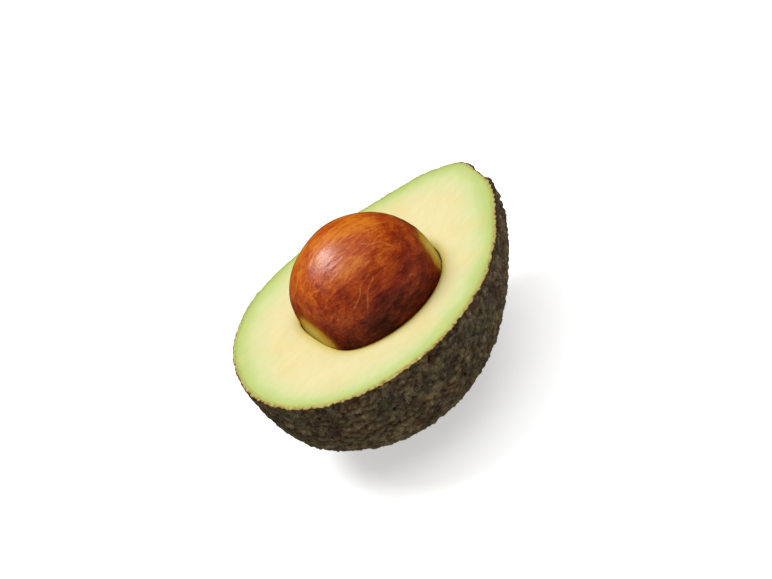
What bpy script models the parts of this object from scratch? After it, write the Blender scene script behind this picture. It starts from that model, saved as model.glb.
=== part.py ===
"""Half an avocado with its stone, cut lengthwise and lying on its back.

Metres, +Z up. The cut face is level and looks up. +X runs along the fruit to its stem end.
The origin is the middle of the small flat spot that the skin rests on.
"""

import math

import bmesh
import bpy
import numpy as np

# The fruit's form, without the pebbles of its skin
HALF_LENGTH = 0.0446
HALF_WIDTH = 0.0337
HALF_DEPTH = 1.10 * HALF_WIDTH
GIRTH_TERMS = (1.0, -0.222, -0.164, 0.0, 0.146)
SIDE_BEND = 0.0031
SIDE_BEND_TURN = 0.61

# Swells and hollows that make the fruit lopsided. Each has its middle's angle round the cut from
# +X and its angle below the cut, in degrees, its height, and how far it spreads, in degrees
SWELLS = (
    (4, 0, 0.0015, 7),
    (24, 0, 0.00055, 9),
    (50, 0, -0.00035, 10),
    (109, 0, 0.00035, 7),
    (150, 0, -0.0005, 9),
    (177, 24, 0.00075, 10),
    (206, 0, -0.00035, 9),
    (249, 0, 0.0005, 8),
    (312, 0, -0.0004, 9),
    (322, 15, 0.0009, 9),
)

# The skin
SKIN_THICKNESS = 0.0010
PEBBLE_COUNT = 900
PEBBLE_HEIGHT = 0.00085
PEBBLE_HEIGHT_SPREAD = 0.25
PEBBLE_TOP_SHARE = 0.52
PEBBLE_EDGE_SHARE = 0.74
CANDIDATES = 14000
SEED = 7
SCAR_TURN = math.radians(-16)
SCAR_RADIUS = 0.0042
SCAR_DEPTH = 0.0004
SCAR_FADE_START = 0.4 * SCAR_RADIUS
SCAR_FADE_END = 1.3 * SCAR_RADIUS
SCAR_RELIEF = 0.3

# The flat spot underneath
FLAT_SLICE = 0.0009
FLAT_FADE_START = 0.0105
FLAT_FADE_END = 0.0175
CUT_TOLERANCE = 1e-6

# The flesh
GAP = 0.0003
FRUIT_SEGMENTS = 44
FRUIT_RINGS = 22

# The stone, an egg with a blunt base
STONE_CENTRE = (-0.0042, -0.0004, -0.00175)
STONE_RADII = (0.0210, 0.0188, 0.0220)
STONE_BASE = 0.872
STONE_TURN = math.radians(-14.3)
BASE_SOFTNESS = 10.3
STONE_SEGMENTS = 28
STONE_RINGS = 16

# The hollow it lies in, which is a little larger
HOLLOW_RADII = (0.0218, 0.0203, 0.0245)
HOLLOW_BASE = 0.862
HOLLOW_SEGMENTS = 32
HOLLOW_RINGS = 20


def clear_scene():
    """Removes every object that the scene starts with."""
    for existing in list(bpy.data.objects):
        bpy.data.objects.remove(existing, do_unlink=True)


def girth(x):
    """The width factor at the share x of the half length: slimmer toward the stem end."""
    return np.polynomial.polynomial.polyval(x, GIRTH_TERMS)


def girth_slope(x):
    """How fast the width factor changes with the share x."""
    return np.polynomial.polynomial.polyval(x, np.polynomial.polynomial.polyder(GIRTH_TERMS))


def deepest_section():
    """Where along the fruit the half is deepest, and that depth."""
    shares = np.linspace(-0.9, 0.9, 3601)
    depths = HALF_DEPTH * girth(shares) * np.sqrt(1 - shares ** 2)
    deepest = int(np.argmax(depths))
    return HALF_LENGTH * float(shares[deepest]), float(depths[deepest])


DEEPEST_X, FULL_DEPTH = deepest_section()
CUT_HEIGHT = FULL_DEPTH - FLAT_SLICE


def swell_height(directions):
    """How far the swells lift the surface: each fades with the angle from its middle."""
    height = np.zeros(len(directions))
    for turn, below, top, spread in SWELLS:
        turn, below, spread = (math.radians(angle) for angle in (turn, below, spread))
        middle = (math.cos(below) * math.cos(turn), math.cos(below) * math.sin(turn),
                  -math.sin(below))
        height += top * np.exp((directions @ middle - 1) / spread ** 2)
    return height


def fruit_surface(directions, lift=0.0):
    """Points of the fruit for unit directions, moved out along the surface normal by lift.

    A sphere is stretched to the length, width and depth, and its width and depth are multiplied
    by the girth. Its middle line bends sideways in a slight S. The normal is the gradient of
    that form, and the swells come on top along it.
    """
    x, y, z = directions.T
    width_factor = girth(x)
    bend = SIDE_BEND * (x ** 3 - SIDE_BEND_TURN * x)
    bend_slope = SIDE_BEND * (3 * x ** 2 - SIDE_BEND_TURN) / HALF_LENGTH
    points = np.stack(
        [HALF_LENGTH * x, HALF_WIDTH * width_factor * y + bend, HALF_DEPTH * width_factor * z],
        axis=1)
    across = y / (HALF_WIDTH * width_factor)
    normals = np.stack(
        [(x - (1 - x * x) * girth_slope(x) / width_factor) / HALF_LENGTH - bend_slope * across,
         across,
         z / (HALF_DEPTH * width_factor)], axis=1)
    normals /= np.linalg.norm(normals, axis=1, keepdims=True)
    return points + np.reshape(lift + swell_height(directions), (-1, 1)) * normals


def smooth_step(value, start, end):
    """0 up to start, 1 from end, and a soft S between them."""
    share = np.clip((value - start) / (end - start), 0, 1)
    return share * share * (3 - 2 * share)


def even_directions(count):
    """Directions whose points on the fruit lie evenly, each the farthest from those before it."""
    rng = np.random.default_rng(SEED)
    candidates = rng.normal(size=(CANDIDATES, 3))
    candidates /= np.linalg.norm(candidates, axis=1, keepdims=True)
    places = fruit_surface(candidates)
    chosen = [0]
    distance = np.linalg.norm(places - places[0], axis=1)
    while len(chosen) < count:
        farthest = int(np.argmax(distance))
        chosen.append(farthest)
        distance = np.minimum(distance, np.linalg.norm(places - places[farthest], axis=1))
    return candidates[chosen]


def faces_round(vertex):
    """The faces that meet at a vertex, in order round it."""
    first = vertex.link_loops[0]
    loop = first
    while True:
        yield loop.face
        loop = loop.link_loop_prev.link_loop_radial_next
        if loop == first:
            return


def pebble_cells(centres):
    """Corner directions, and each pebble's loop of corners.

    The pebble centres are joined into triangles, and a cell's corners are the middles of the
    triangles round its centre, so neighbouring cells share their corners.
    """
    web = bmesh.new()
    for centre in centres:
        web.verts.new(centre)
    bmesh.ops.convex_hull(web, input=web.verts[:])
    web.faces.ensure_lookup_table()
    web.faces.index_update()
    corners = np.array([face.calc_center_median().normalized() for face in web.faces])
    loops = [[face.index for face in faces_round(vertex)] for vertex in web.verts]
    web.free()
    return corners, loops


def scar_distance(points):
    """Distance from the middle of the stem scar, which sits beside the fruit's tip."""
    middle = np.array([[math.cos(SCAR_TURN), math.sin(SCAR_TURN), 0.0]])
    return np.linalg.norm(points - fruit_surface(middle), axis=1)


def relief_share(directions):
    """How much of the pebbles' height stays: none on the flat spot, less in the stem scar."""
    points = fruit_surface(directions)
    from_flat = np.hypot(points[:, 0] - DEEPEST_X, points[:, 1])
    under = directions[:, 2] < 0
    near_flat = np.where(under, smooth_step(from_flat, FLAT_FADE_START, FLAT_FADE_END), 1.0)
    near_scar = smooth_step(scar_distance(points), SCAR_RADIUS, 2 * SCAR_RADIUS)
    return near_flat * (SCAR_RELIEF + (1 - SCAR_RELIEF) * near_scar)


def scar_dent(directions):
    """The shallow round dent where the stem sat."""
    distance = scar_distance(fruit_surface(directions))
    return SCAR_DEPTH * (1 - smooth_step(distance, SCAR_FADE_START, SCAR_FADE_END))


def pebbled_surface():
    """The whole fruit's outside: one raised, round-topped pebble in every cell."""
    centres = even_directions(PEBBLE_COUNT)
    corners, loops = pebble_cells(centres)
    rng = np.random.default_rng(SEED + 1)
    reach = np.array([np.linalg.norm(corners[loop] - centre, axis=1).min()
                      for centre, loop in zip(centres, loops)])
    heights = PEBBLE_HEIGHT * np.minimum(reach / np.median(reach), 1.0)
    heights *= 1 + PEBBLE_HEIGHT_SPREAD * rng.uniform(-1, 1, len(centres))
    ring_directions = []
    ring_heights = []
    for centre, height, loop in zip(centres, heights, loops):
        ring = centre + PEBBLE_TOP_SHARE * (corners[loop] - centre)
        ring_directions.append(ring / np.linalg.norm(ring, axis=1, keepdims=True))
        ring_heights.append(np.full(len(loop), PEBBLE_EDGE_SHARE * height))
    directions = np.concatenate([corners, centres] + ring_directions)
    relief = np.concatenate([np.zeros(len(corners)), heights] + ring_heights)
    lift = relief * relief_share(directions) - scar_dent(directions)
    points = fruit_surface(directions, lift)

    surface = bmesh.new()
    verts = [surface.verts.new(point) for point in points]
    ring_start = len(corners) + len(centres)
    for number, loop in enumerate(loops):
        middle = verts[len(corners) + number]
        sides = len(loop)
        for side in range(sides):
            after = (side + 1) % sides
            inner_a, inner_b = verts[ring_start + side], verts[ring_start + after]
            outer_a, outer_b = verts[loop[side]], verts[loop[after]]
            surface.faces.new((outer_a, outer_b, inner_b, inner_a))
            surface.faces.new((inner_a, inner_b, middle))
        ring_start += sides
    return surface


def keep_below(mesh, height):
    """Cuts the mesh level at this height and keeps what is below, open at the cut."""
    everything = mesh.verts[:] + mesh.edges[:] + mesh.faces[:]
    bmesh.ops.bisect_plane(mesh, geom=everything, plane_co=(0, 0, height), plane_no=(0, 0, 1),
                           dist=CUT_TOLERANCE, clear_outer=True)


def slice_flat_spot(mesh):
    """Cuts the flat spot under the fruit and closes it with one level face."""
    everything = mesh.verts[:] + mesh.edges[:] + mesh.faces[:]
    cut = bmesh.ops.bisect_plane(mesh, geom=everything, plane_co=(0, 0, -CUT_HEIGHT),
                                 plane_no=(0, 0, 1), dist=CUT_TOLERANCE, clear_inner=True)
    edges = [item for item in cut["geom_cut"] if isinstance(item, bmesh.types.BMEdge)]
    bmesh.ops.edgeloop_fill(mesh, edges=edges)


def half_bowl(mesh, shape, segments, rings):
    """Adds the lower half of a sphere, open on top, whose directions are placed by shape."""
    ball = bmesh.new()
    bmesh.ops.create_uvsphere(ball, u_segments=segments, v_segments=rings, radius=1)
    upper = [vertex for vertex in ball.verts if vertex.co.z > 1e-4]
    bmesh.ops.delete(ball, geom=upper, context="VERTS")
    directions = np.array([vertex.co[:] for vertex in ball.verts])
    directions[np.abs(directions[:, 2]) < 1e-4, 2] = 0.0
    directions /= np.linalg.norm(directions, axis=1, keepdims=True)
    copies = [mesh.verts.new(point) for point in shape(directions)]
    ball.verts.index_update()
    for face in ball.faces:
        mesh.faces.new([copies[vertex.index] for vertex in face.verts])
    ball.free()


def close_cut_face(mesh):
    """Fills the level ring between the two open rims and turns every face outward."""
    rims = [edge for edge in mesh.edges if edge.is_boundary]
    bmesh.ops.triangle_fill(mesh, use_beauty=True, edges=rims, normal=(0, 0, 1))
    bmesh.ops.recalc_face_normals(mesh, faces=mesh.faces[:])


def under_skin(directions, depth):
    """The fruit's surface at a depth under the skin's valleys, flat above the flat spot too."""
    points = fruit_surface(directions, -depth)
    points[:, 2] = np.maximum(points[:, 2], -CUT_HEIGHT + depth)
    return points


def inner_skin(directions):
    """The inside of the skin."""
    return under_skin(directions, SKIN_THICKNESS)


def flesh_outside(directions):
    """The outside of the flesh, a small gap inside the skin."""
    return under_skin(directions, SKIN_THICKNESS + GAP)


def blunt_egg(directions, radii, base):
    """An ellipsoid with a blunt base at its round end, turned a little about the vertical.

    Past the base, a share of its length, the length is pressed in by a soft limit.
    """
    x, y, z = directions.T
    past_base = np.log1p(np.exp(BASE_SOFTNESS * (-x - base))) / BASE_SOFTNESS
    along, across, up = (np.stack([x + past_base, y, z], axis=1) * radii).T
    cosine, sine = math.cos(STONE_TURN), math.sin(STONE_TURN)
    return np.stack([cosine * along - sine * across, sine * along + cosine * across, up], axis=1)


def stone_surface(directions):
    """The stone round its centre."""
    return blunt_egg(directions, STONE_RADII, STONE_BASE) + STONE_CENTRE


def hollow(directions):
    """The hollow: the stone's form, larger, with its middle at the height of the cut."""
    return blunt_egg(directions, HOLLOW_RADII, HOLLOW_BASE) + (*STONE_CENTRE[:2], 0.0)


def make_material(name, colour, roughness):
    """A Principled material with one colour, given in linear red, green and blue."""
    material = bpy.data.materials.new(name)
    material.use_nodes = True
    shader = material.node_tree.nodes["Principled BSDF"]
    shader.inputs["Base Color"].default_value = (*colour, 1)
    shader.inputs["Roughness"].default_value = roughness
    shader.inputs["Metallic"].default_value = 0.0
    material.diffuse_color = (*colour, 1)
    return material


def add_part(name, mesh, material, collection, sharp_angle):
    """Makes the finished mesh an object of the half, set on its flat spot."""
    bmesh.ops.translate(mesh, verts=mesh.verts[:], vec=(-DEEPEST_X, 0, CUT_HEIGHT))
    data = bpy.data.meshes.new(name)
    mesh.to_mesh(data)
    mesh.free()
    data.materials.append(material)
    data.shade_smooth()
    data.set_sharp_from_angle(angle=math.radians(sharp_angle))
    part = bpy.data.objects.new(name, data)
    collection.objects.link(part)
    return part


def make_skin(collection):
    """The skin: a pebbled bowl with a smooth inside and a flat spot to rest on."""
    mesh = pebbled_surface()
    keep_below(mesh, 0.0)
    slice_flat_spot(mesh)
    half_bowl(mesh, inner_skin, FRUIT_SEGMENTS, FRUIT_RINGS)
    close_cut_face(mesh)
    material = make_material("avocado skin", (0.036, 0.033, 0.018), 0.5)
    return add_part("skin", mesh, material, collection, 75)


def make_flesh(collection):
    """The flesh: a bowl inside the skin with the stone's hollow in its cut face."""
    mesh = bmesh.new()
    half_bowl(mesh, flesh_outside, FRUIT_SEGMENTS, FRUIT_RINGS)
    half_bowl(mesh, hollow, HOLLOW_SEGMENTS, HOLLOW_RINGS)
    close_cut_face(mesh)
    material = make_material("avocado flesh", (0.82, 0.78, 0.34), 0.45)
    return add_part("flesh", mesh, material, collection, 40)


def make_stone(collection):
    """The stone, which lies in the hollow and stands out of the cut face by half."""
    mesh = bmesh.new()
    bmesh.ops.create_uvsphere(mesh, u_segments=STONE_SEGMENTS, v_segments=STONE_RINGS, radius=1)
    directions = np.array([vertex.co[:] for vertex in mesh.verts])
    for vertex, point in zip(mesh.verts, stone_surface(directions)):
        vertex.co = point
    bmesh.ops.recalc_face_normals(mesh, faces=mesh.faces[:])
    material = make_material("avocado stone", (0.24, 0.055, 0.012), 0.3)
    return add_part("stone", mesh, material, collection, 60)


def main():
    """Builds the half."""
    clear_scene()
    collection = bpy.data.collections.new("avocado_half")
    bpy.context.scene.collection.children.link(collection)
    make_skin(collection)
    make_flesh(collection)
    make_stone(collection)


main()
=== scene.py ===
# %% [markdown]
# Half an avocado, cut lengthwise, lies on its back with its stone still in place. The solids of
# its skin, flesh and stone are finished and say where everything is. This lesson gives them their
# looks. A fruit could be sculpted by hand, but a formula gives the same fruit on every run, so
# each piece is worked out as a whole array of points.

# %% Load the solids
import math

import bpy
import numpy as np
from mathutils import Matrix, Vector


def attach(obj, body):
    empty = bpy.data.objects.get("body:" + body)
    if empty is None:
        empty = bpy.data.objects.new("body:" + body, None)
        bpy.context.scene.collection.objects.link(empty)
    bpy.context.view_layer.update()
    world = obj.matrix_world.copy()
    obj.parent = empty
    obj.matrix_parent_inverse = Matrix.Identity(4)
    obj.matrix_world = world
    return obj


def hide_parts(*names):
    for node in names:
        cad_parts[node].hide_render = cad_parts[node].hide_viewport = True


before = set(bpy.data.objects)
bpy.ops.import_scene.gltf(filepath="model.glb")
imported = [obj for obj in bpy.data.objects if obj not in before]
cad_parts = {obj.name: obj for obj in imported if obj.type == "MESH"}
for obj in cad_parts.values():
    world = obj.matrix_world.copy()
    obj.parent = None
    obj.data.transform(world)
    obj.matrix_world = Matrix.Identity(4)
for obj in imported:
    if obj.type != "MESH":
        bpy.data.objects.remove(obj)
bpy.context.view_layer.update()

MM = 0.001

# %% [markdown]
# The camera comes first, so that every later step can be judged from it. It looks down on the cut
# face from the round end, and it is rolled, so that the fruit lies aslant in the picture. A long
# lens from 36 cm away keeps the half from bulging. The half sits a little left of and above the
# middle of the picture, so the camera is aimed a little past it, which keeps the lens unshifted.

# %% Camera
IMAGE_WIDTH_PX = 772
FOCAL_LENGTH_PX = 1406.5
SENSOR_WIDTH_MM = 36.0
VIEW_AZIMUTH = math.radians(-33.877)
VIEW_ELEVATION = math.radians(34.167)
VIEW_ROLL = math.radians(-30.127)
VIEW_DISTANCE = 360 * MM
AIM_RIGHT_PX = 11.8
AIM_DOWN_PX = 10.75


def view_axes(azimuth, elevation, roll):
    """Right, up and back of a camera. Azimuth 0 looks along +Y, and elevation lifts the camera.
    The roll then turns right and up about back."""
    back = Vector((math.sin(azimuth) * math.cos(elevation),
                   -math.cos(azimuth) * math.cos(elevation), math.sin(elevation)))
    level = Vector((math.cos(azimuth), math.sin(azimuth), 0))
    right = math.cos(roll) * level + math.sin(roll) * back.cross(level)
    return right, back.cross(right), back


def add_camera(look_at):
    """A camera that keeps look_at off the picture's middle by the aim, in pixels."""
    right, up, back = view_axes(VIEW_AZIMUTH, VIEW_ELEVATION, VIEW_ROLL)
    back_aimed = (back - right * (AIM_RIGHT_PX / FOCAL_LENGTH_PX)
                  + up * (AIM_DOWN_PX / FOCAL_LENGTH_PX)).normalized()
    right_aimed = (right - back_aimed * right.dot(back_aimed)).normalized()
    up_aimed = back_aimed.cross(right_aimed)
    turn = Matrix((right_aimed, up_aimed, back_aimed)).transposed()
    data = bpy.data.cameras.new("camera")
    data.sensor_width = SENSOR_WIDTH_MM
    data.lens = SENSOR_WIDTH_MM * FOCAL_LENGTH_PX / IMAGE_WIDTH_PX
    data.clip_start = 10 * MM
    camera = bpy.data.objects.new("camera", data)
    camera.matrix_world = Matrix.Translation(look_at + VIEW_DISTANCE * back) @ turn.to_4x4()
    bpy.context.scene.collection.objects.link(camera)
    bpy.context.scene.camera = camera
    return camera


# %% [markdown]
# The fruit's form is the one that the solids were built from, so its formula is repeated here. It
# starts as a ball, is stretched to the fruit's length, width and depth, and is then slimmed toward
# the stem end. Its middle line bends sideways in a slight S, as a fruit's does that grew hanging,
# and gentle swells make it lopsided. The cut face is level at CUT_HEIGHT, and the origin is the
# flat spot that the half rests on.

# %% The fruit's form
HALF_LENGTH = 44.6 * MM
HALF_WIDTH = 33.7 * MM
DEPTH_TO_WIDTH = 1.10
HALF_DEPTH = DEPTH_TO_WIDTH * HALF_WIDTH
GIRTH_TERMS = (1.0, -0.222, -0.164, 0.0, 0.146)
SIDE_BEND = 3.1 * MM
SIDE_BEND_TURN = 0.61
SKIN_THICKNESS = 1.0 * MM
FLAT_SLICE = 0.9 * MM

# Each swell's angle round the cut from +X and its angle below the cut, in degrees, its height in
# millimetres and its spread in degrees
SWELLS = (
    (4, 0, 1.5, 7), (24, 0, 0.55, 9), (50, 0, -0.35, 10), (109, 0, 0.35, 7), (150, 0, -0.5, 9),
    (177, 24, 0.75, 10), (206, 0, -0.35, 9), (249, 0, 0.5, 8), (312, 0, -0.4, 9), (322, 15, 0.9, 9),
)


# %% Its surface


def girth(x):
    """The width factor at the share x of the half length: slimmer toward the stem end."""
    return np.polynomial.polynomial.polyval(x, GIRTH_TERMS)


def girth_slope(x):
    """How fast the width factor changes with the share x."""
    return np.polynomial.polynomial.polyval(x, np.polynomial.polynomial.polyder(GIRTH_TERMS))


# The deepest place is looked for on a fine row of shares, short of both tips
TIP_SHARE = 0.9
SHARE_STEPS = 3601
shares = np.linspace(-TIP_SHARE, TIP_SHARE, SHARE_STEPS)
depths = HALF_DEPTH * girth(shares) * np.sqrt(1 - shares ** 2)
DEEPEST_X = HALF_LENGTH * float(shares[np.argmax(depths)])
CUT_HEIGHT = float(depths.max()) - FLAT_SLICE
FRUIT_CENTRE = np.array([-DEEPEST_X, 0.0, CUT_HEIGHT])


def direction_at(turn, below):
    """The unit direction at an angle round the cut and an angle below it, both in degrees."""
    turn, below = math.radians(turn), math.radians(below)
    return np.array([math.cos(below) * math.cos(turn), math.cos(below) * math.sin(turn),
                     -math.sin(below)])


def swell_height(directions):
    """How far the swells lift the surface. Each is its height times e to the power of minus the
    squared angle from its middle over twice the squared spread, nearly."""
    return sum(height * MM * np.exp((directions @ direction_at(turn, below) - 1)
                                    / math.radians(spread) ** 2)
               for turn, below, height, spread in SWELLS)


def fruit_surface(directions, lift=0.0):
    """Points of the fruit for unit directions from its middle, moved out along the normal.
    A point is the direction times the half sizes, with width and depth times the girth, plus the
    side bend. The normal is the gradient of that form, and the swells come on top along it."""
    x, y, z = np.moveaxis(directions, -1, 0)
    factor = girth(x)
    bend = SIDE_BEND * (x ** 3 - SIDE_BEND_TURN * x)
    bend_slope = SIDE_BEND * (3 * x ** 2 - SIDE_BEND_TURN) / HALF_LENGTH
    points = np.stack([HALF_LENGTH * x, HALF_WIDTH * factor * y + bend, HALF_DEPTH * factor * z], -1)
    across = y / (HALF_WIDTH * factor)
    normals = np.stack([(x - (1 - x * x) * girth_slope(x) / factor) / HALF_LENGTH
                        - bend_slope * across, across, z / (HALF_DEPTH * factor)], -1)
    normals /= np.linalg.norm(normals, axis=-1, keepdims=True)
    return points + FRUIT_CENTRE + (lift + swell_height(directions))[..., None] * normals


camera = add_camera(Vector(FRUIT_CENTRE.tolist()))
print("cut height in mm", round(CUT_HEIGHT / MM, 2), "lens in mm", round(camera.data.lens, 1))

# %% [markdown]
# Four small helpers serve the pieces. One turns a stack of rings of points into a closed mesh,
# which suits a bowl, a fruit and a stone alike: the rings are joined by four-sided faces, and a
# fan closes each end. One gives smooth random unevenness as a sum of waves, since nothing that
# grew is quite regular. One is the soft step that blends a form or a finish into the next, and
# one gives the directions in which the rings of a bowl lie.

# %% Helpers for shapes
WAVES = 26
WAVE_LENGTH_SPREAD = (0.7, 1.5)
SHARP_CORNER = math.radians(70)


def ring_mesh(name, rings, start, end, fields):
    """A closed mesh from rings of points, given in order, and the two end points. It is shaded
    smooth but for its sharp corners, where a knife has cut. fields holds one array of values per
    ring point for each attribute, by its name. Where the rings' order makes the faces point in,
    the volume comes out negative, and the faces are turned round."""
    count, around = rings.shape[:2]
    points = np.concatenate([rings.reshape(-1, 3), [start, end]])
    here = np.arange(count * around).reshape(count, around)
    beside = np.roll(here, -1, axis=1)
    quads = np.stack([here[:-1], beside[:-1], beside[1:], here[1:]], -1).reshape(-1, 4)
    first = np.stack([np.full(around, count * around), beside[0], here[0]], -1)
    last = np.stack([np.full(around, count * around + 1), here[-1], beside[-1]], -1)
    mesh = bpy.data.meshes.new(name)
    mesh.from_pydata(points.tolist(), [], quads.tolist() + first.tolist() + last.tolist())
    for field, values in fields.items():
        ends = [values[0].mean(), values[-1].mean()]
        attribute = mesh.attributes.new(field, "FLOAT", "POINT")
        attribute.data.foreach_set("value", np.append(values.ravel(), ends).astype(np.float32))
    a, b, c, d = (points[quads[:, corner]] for corner in range(4))
    volume = (np.cross(a, b) * c).sum() / 6 + (np.cross(a, c) * d).sum() / 6
    if volume < 0:
        mesh.flip_normals()
    mesh.shade_smooth()
    mesh.set_sharp_from_angle(angle=SHARP_CORNER)
    piece = bpy.data.objects.new(name, mesh)
    bpy.context.scene.collection.objects.link(piece)
    print(name, len(points), "points", 2 * len(quads), "triangles",
          round(abs(volume) / MM ** 3 / 1000, 1), "cubic cm without its end fans",
          "faces turned round" if volume < 0 else "faces kept")
    return piece


def random_waves(points, length, seed):
    """Smooth unevenness, mostly within -1 to 1: a sum of waves that run in random directions and
    whose lengths lie round the given one, divided by twice its own spread."""
    rng = np.random.default_rng(seed)
    ways = rng.normal(size=(WAVES, 3))
    ways /= np.linalg.norm(ways, axis=1, keepdims=True)
    lengths = length * rng.uniform(*WAVE_LENGTH_SPREAD, WAVES)
    starts = rng.uniform(0, 2 * math.pi, WAVES)
    angles = points @ (2 * math.pi * ways / lengths[:, None]).T + starts
    return np.cos(angles).sum(-1) / (2 * math.sqrt(WAVES / 2))


def smooth_step(value, start, end):
    """0 up to start, 1 from end, and a soft S between them."""
    share = np.clip((value - start) / (end - start), 0, 1)
    return share * share * (3 - 2 * share)


def ring_directions(below_cut, columns):
    """Unit directions in rings, one ring for each angle below the cut plane."""
    round_about = np.linspace(0, 2 * math.pi, columns, endpoint=False)
    down, turn = np.meshgrid(below_cut, round_about, indexing="ij")
    return np.stack([np.cos(down) * np.cos(turn), np.cos(down) * np.sin(turn), -np.sin(down)], -1)


# %% [markdown]
# The skin of this kind is covered in pebbles about 2.4 mm apart, round bumps of unlike height that
# have partly grown together, and small pits lie among them. They could be drawn by a bump texture
# alone, but then the outline would stay smooth, so they are real relief. The middles of pebbles
# and pits are spread evenly, each the farthest from those before it. A point's height comes from
# its nearest two middles. Level distances are shortened, which draws the pebbles out level, round
# the fruit, and the places are first shaken by slow waves, which makes their outlines irregular.

# %% Pebbles
PEBBLE_PITCH = 2.1 * MM
PIT_PITCH = 2.3 * MM
PIT_WIDTH = 0.5 * MM
EVEN_SHARE = 0.84
CANDIDATES = 16000
OVER_CUT = 0.06
DRAWN_OUT = np.array([0.8, 0.62, 1.0])
PEBBLE_SIZE_SPREAD = 0.35
SHAKE = 0.8 * MM
SHAKE_LENGTH = 2.8 * MM
CROWN_SHARPNESS = 0.9
FOLD_LENGTH = 2.1 * MM
FOLD_SHARE = 0.5
LOWEST_PEBBLE = 0.3
CHUNKS = 60


def even_places(pitch, seed):
    """Evenly spread places on the lower half of the fruit and a little over the cut."""
    rng = np.random.default_rng(seed)
    directions = rng.normal(size=(CANDIDATES, 3))
    directions /= np.linalg.norm(directions, axis=1, keepdims=True)
    places = fruit_surface(directions[directions[:, 2] < OVER_CUT]) * DRAWN_OUT
    chosen = [0]
    distance = np.linalg.norm(places - places[0], axis=1)
    while distance.max() > pitch * EVEN_SHARE:
        chosen.append(int(np.argmax(distance)))
        distance = np.minimum(distance, np.linalg.norm(places - places[chosen[-1]], axis=1))
    return places[chosen]


def nearest_two(places, centres, sizes):
    """For each place, the number of its nearest centre, and the distances to its nearest two.
    Each distance is divided by the centre's size, so large pebbles take more room."""
    near = []
    for part in np.array_split(places, CHUNKS):
        squares = (part ** 2).sum(1)[:, None] - 2 * part @ centres.T + (centres ** 2).sum(1)
        distance = np.sqrt(np.maximum(squares, 0)) / sizes
        two = np.sort(np.partition(distance, 1, axis=1)[:, :2], axis=1)
        near.append(np.column_stack([distance.argmin(1), two]))
    return np.concatenate(near)


def pebble_relief(directions):
    """Height share from 0 in a valley to about 1 on a top, the depth share of pits, and each
    point's random share of its pebble. A pebble's crown is 1 minus the squared ratio of the two
    nearest distances, to the power of its sharpness, and the random share makes it lower or
    higher. Folds, the size of slow waves without their sign, run through all of it. A pit is e to
    the power of minus the squared distance from its middle over its squared width."""
    rng = np.random.default_rng(12)
    centres, pits = even_places(PEBBLE_PITCH, 11), even_places(PIT_PITCH, 13)
    sizes = 1 + PEBBLE_SIZE_SPREAD * rng.uniform(-1, 1, len(centres))
    tones = rng.uniform(0, 1, len(centres))
    points = fruit_surface(directions).reshape(-1, 3)
    shaken = points + SHAKE * np.stack([random_waves(points, SHAKE_LENGTH, seed)
                                        for seed in (21, 22, 23)], -1)
    near = nearest_two(shaken * DRAWN_OUT, centres, sizes)
    tone = tones[near[:, 0].astype(int)]
    crown = (1 - (near[:, 1] / near[:, 2]) ** 2) ** CROWN_SHARPNESS
    folds = np.minimum(np.abs(random_waves(points * DRAWN_OUT, FOLD_LENGTH, 24)), 1)
    size = LOWEST_PEBBLE + (1 - LOWEST_PEBBLE) * tone
    share = (1 - FOLD_SHARE) * crown * size + FOLD_SHARE * folds
    near = nearest_two(shaken * DRAWN_OUT, pits, np.ones(len(pits)))
    depths = rng.uniform(0, 1, len(pits))[near[:, 0].astype(int)]
    pit = depths * np.exp(-(near[:, 1] / PIT_WIDTH) ** 2)
    print(len(centres), "pebbles and", len(pits), "pits")
    return (values.reshape(directions.shape[:-1]) for values in (share, pit, tone))


# %% [markdown]
# The skin is one bowl: its outside runs from the flat spot up to the cut, goes over the cut edge,
# and comes back down its inside. The rings lie closer near the cut, where they are seen. Where the
# skin rests, its tops are pressed flat. The pebbles are lower at the round end and on the far
# side, and they run out round the corky scar of the stem, which sits beside the tip. The cut edge
# falls off a little at its outer corner.

# %% Skin
SKIN_COLUMNS = 720
OUTSIDE_RINGS = 123
EDGE_RINGS = 6
INSIDE_RINGS = 9
RINGS_CLOSER = 0.3
PEBBLE_HEIGHT = 0.95 * MM
PIT_DEPTH = 0.65 * MM
VALLEY_LIFT = -0.12 * MM
WRINKLE_HEIGHT = 0.12 * MM
WRINKLE_LENGTH = 1.0 * MM
FLAT_FADE = (9.0 * MM, 16.0 * MM)
SCAR_TURN = -16
SCAR_RADIUS = 4.2 * MM
SCAR_DEPTH = 0.35 * MM
SCAR_RING = 0.3 * MM
SCAR_EDGE = (0.5 * SCAR_RADIUS, 1.2 * SCAR_RADIUS)
SCAR_RING_RADIUS = 1.15 * SCAR_RADIUS
SCAR_RING_WIDTH = 0.25 * SCAR_RADIUS
CUT_EDGE_DROP = 0.25 * MM

# Shares of the relief that stay on the flat spot, on the scar and on the smoothest ring
RELIEF_ON_FLAT = 0.15
RELIEF_ON_SCAR = 0.15
RELIEF_ON_RING = 0.4

# How far below the cut, as the sine of that angle, the relief grows to its full height all round
FULL_RELIEF = (0.1, 0.5)

# The sine from which down a point may lie on the flat spot, which no point near the cut does
FLAT_FROM = -0.5

# How much of the cut edge's width is flesh that clings to the skin, and how much is its dark
# outermost part, at angles round the cut in degrees from +X
EDGE_ANGLES = (0, 15, 90, 115, 180, 240, 300, 330, 350, 360)
FLESH_SHARE = (0.3, 0.85, 0.85, 0.6, 0.4, 0.3, 0.3, 0.35, 0.15, 0.3)
DARK_SHARE = (0.4, 0.05, 0.05, 0.12, 0.15, 0.2, 0.35, 0.45, 0.5, 0.4)

# Relief left at angles round the cut, in degrees from +X
RELIEF_ANGLES = (0, 20, 90, 120, 180, 230, 280, 330, 360)
RELIEF_LEFT = (0.6, 0.45, 0.45, 0.4, 0.5, 0.9, 1.0, 1.0, 0.6)


# %% The skin's outside


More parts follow.
